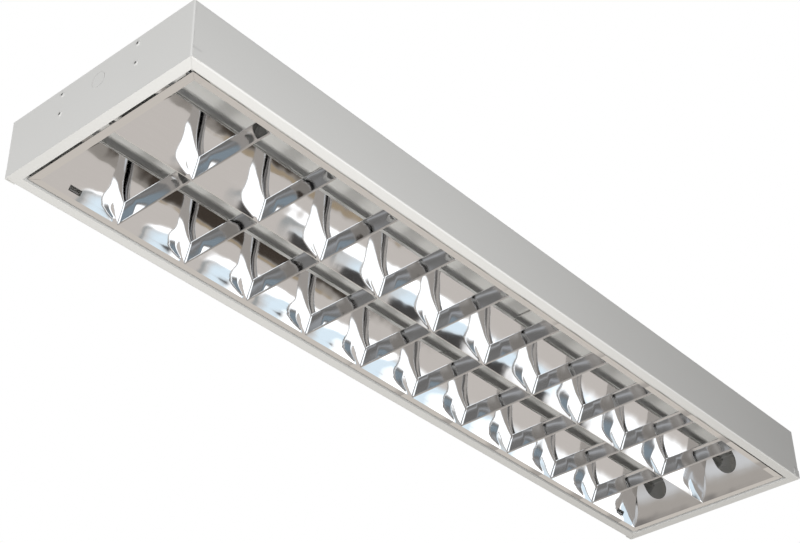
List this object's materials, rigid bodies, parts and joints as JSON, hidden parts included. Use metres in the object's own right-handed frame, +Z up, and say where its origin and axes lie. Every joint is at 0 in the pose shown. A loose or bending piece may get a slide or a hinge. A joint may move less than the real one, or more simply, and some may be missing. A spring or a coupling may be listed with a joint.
{
  "type": "surface mounted louvre light",
  "caption": "Surface mounted ceiling light: folded white steel box for tube lamps with a hinged mirror louvre of V-section cross blades, turning lampholders and control gear.",
  "frame": {"origin": "middle of the flat top that lies against the ceiling", "axes": "+X along the light, +Y across it towards the catch side of the louvre, +Z up into the ceiling"},
  "size_m": [1.232, 0.3016, 0.08],
  "materials": {
    "white_paint": "satin white stove enamel",
    "mirror_aluminium": "mirror polished anodised",
    "zinc_steel": "zinc plated",
    "spring_steel": "bright spring strip",
    "holder_plastic": "moulded white",
    "contact_brass": "plain",
    "gear_plastic": "moulded pale grey",
    "terminal_plastic": "moulded natural",
    "bush_rubber": "moulded black",
    "wire_insulation": "white insulation"
  },
  "bodies": {
    "housing": {"ballast": "gear_plastic", "ballast_screws": "zinc_steel", "body_shell": "white_paint", "catch_spring_left": "spring_steel", "catch_spring_right": "spring_steel", "earth_stud": "contact_brass", "end_cap_left": "white_paint", "end_cap_right": "white_paint", "entry_bush": "bush_rubber", "holder_rivets_left": "white_paint", "holder_rivets_right": "white_paint", "lamp_wires": "wire_insulation", "lampholder_body_left_front": "holder_plastic", "lampholder_body_left_rear": "holder_plastic", "lampholder_body_right_front": "holder_plastic", "lampholder_body_right_rear": "holder_plastic", "lampholder_bracket_left_front": "zinc_steel", "lampholder_bracket_left_rear": "zinc_steel", "lampholder_bracket_right_front": "zinc_steel", "lampholder_bracket_right_rear": "zinc_steel", "lampholder_contacts_left_front": "contact_brass", "lampholder_contacts_left_rear": "contact_brass", "lampholder_contacts_right_front": "contact_brass", "lampholder_contacts_right_rear": "contact_brass", "mains_leads": "wire_insulation", "terminal_block": "terminal_plastic", "terminal_screws": "zinc_steel"},
    "louvre": {"corner_plates": "zinc_steel", "cross_blade_front_01": "mirror_aluminium", "cross_blade_front_02": "mirror_aluminium", "cross_blade_front_03": "mirror_aluminium", "cross_blade_front_04": "mirror_aluminium", "cross_blade_front_05": "mirror_aluminium", "cross_blade_front_06": "mirror_aluminium", "cross_blade_front_07": "mirror_aluminium", "cross_blade_front_08": "mirror_aluminium", "cross_blade_front_09": "mirror_aluminium", "cross_blade_front_10": "mirror_aluminium", "cross_blade_rear_01": "mirror_aluminium", "cross_blade_rear_02": "mirror_aluminium", "cross_blade_rear_03": "mirror_aluminium", "cross_blade_rear_04": "mirror_aluminium", "cross_blade_rear_05": "mirror_aluminium", "cross_blade_rear_06": "mirror_aluminium", "cross_blade_rear_07": "mirror_aluminium", "cross_blade_rear_08": "mirror_aluminium", "cross_blade_rear_09": "mirror_aluminium", "cross_blade_rear_10": "mirror_aluminium", "end_reflector_left": "mirror_aluminium", "end_reflector_right": "mirror_aluminium", "hinge_pins": "zinc_steel", "hinge_plate_left": "zinc_steel", "hinge_plate_right": "zinc_steel", "side_reflector_front": "mirror_aluminium", "side_reflector_rear": "mirror_aluminium", "spine_reflector": "mirror_aluminium"},
    "rotor_left_front": {"lampholder_rotor_left_front": "holder_plastic"},
    "rotor_left_rear": {"lampholder_rotor_left_rear": "holder_plastic"},
    "rotor_right_front": {"lampholder_rotor_right_front": "holder_plastic"},
    "rotor_right_rear": {"lampholder_rotor_right_rear": "holder_plastic"}
  },
  "joints": [
    {"name": "louvre_hinge", "type": "hinge", "parent": "housing", "child": "louvre", "pos_m": [0, -0.1253, -0.075], "axis": [-1, 0, 0], "range_deg": [0, 90]},
    {"name": "rotor_turn_left_front", "type": "hinge", "parent": "housing", "child": "rotor_left_front", "pos_m": [-0.6, -0.062, -0.028], "axis": [1, 0, 0], "range_deg": [0, 90]},
    {"name": "rotor_turn_left_rear", "type": "hinge", "parent": "housing", "child": "rotor_left_rear", "pos_m": [-0.6, 0.062, -0.028], "axis": [1, 0, 0], "range_deg": [0, 90]},
    {"name": "rotor_turn_right_front", "type": "hinge", "parent": "housing", "child": "rotor_right_front", "pos_m": [0.6, -0.062, -0.028], "axis": [1, 0, 0], "range_deg": [0, 90]},
    {"name": "rotor_turn_right_rear", "type": "hinge", "parent": "housing", "child": "rotor_right_rear", "pos_m": [0.6, 0.062, -0.028], "axis": [1, 0, 0], "range_deg": [0, 90]}
  ]
}
